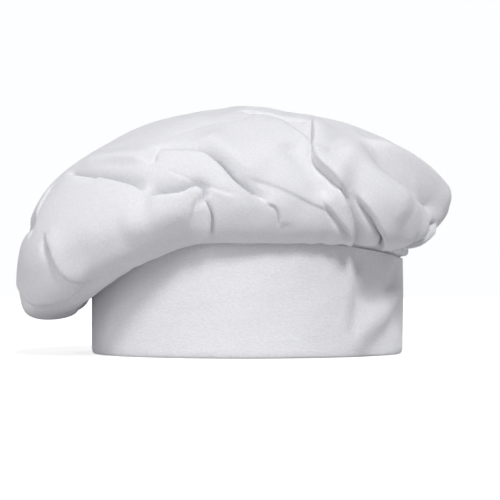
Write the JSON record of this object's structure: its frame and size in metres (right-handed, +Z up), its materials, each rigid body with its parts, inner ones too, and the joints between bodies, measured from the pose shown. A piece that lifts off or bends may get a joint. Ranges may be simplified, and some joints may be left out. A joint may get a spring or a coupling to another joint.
{
  "type": "chef toque",
  "caption": "Soft cotton chef toque: a gathered circular crown flops to one side over a folded, stiffened headband that a hook-and-loop strap closes at the back.",
  "frame": {"origin": "centre of the head opening, in the plane of the band's folded bottom edge that the hat stands on", "axes": "+X from the lobe of the crown that hangs over the band towards the other side, the hat's longest extent; -Y towards the front of the hat, +Y towards the closure at its back; +Z up"},
  "size_m": [0.266, 0.2425, 0.1538],
  "materials": {
    "white_cotton": "matte plain-weave polycotton",
    "interfacing": "matte non-woven stiffener",
    "tape_nylon": "woven nylon hook-and-loop tape",
    "thread": "spun polyester sewing thread",
    "label_satin": "satin ribbon, blank"
  },
  "bodies": {
    "hat": {"headband": "white_cotton", "interfacing": "interfacing", "crown": "white_cotton", "slit_binding": "white_cotton", "slit_bar_tack": "thread", "seam_stitching": "thread", "strap_end": "white_cotton", "strap_end_stitching": "thread", "loop_tape": "tape_nylon"},
    "flap": {"closure_flap": "white_cotton", "hook_tape": "tape_nylon", "flap_edge_stitching": "thread", "hook_tape_stitching": "thread"},
    "label": {"care_label": "label_satin", "label_stitching": "thread"}
  },
  "joints": [
    {"name": "flap_peel", "type": "hinge", "parent": "hat", "child": "flap", "pos_m": [0.00345, 0.09864, 0.03], "axis": [0, 0, -1], "range_deg": [0, 120]},
    {"name": "label_flip", "type": "hinge", "parent": "hat", "child": "label", "pos_m": [-0.0425, 0.08, 0.0605], "axis": [-0.8829, -0.4695, 0], "range_deg": [0, 70]}
  ]
}
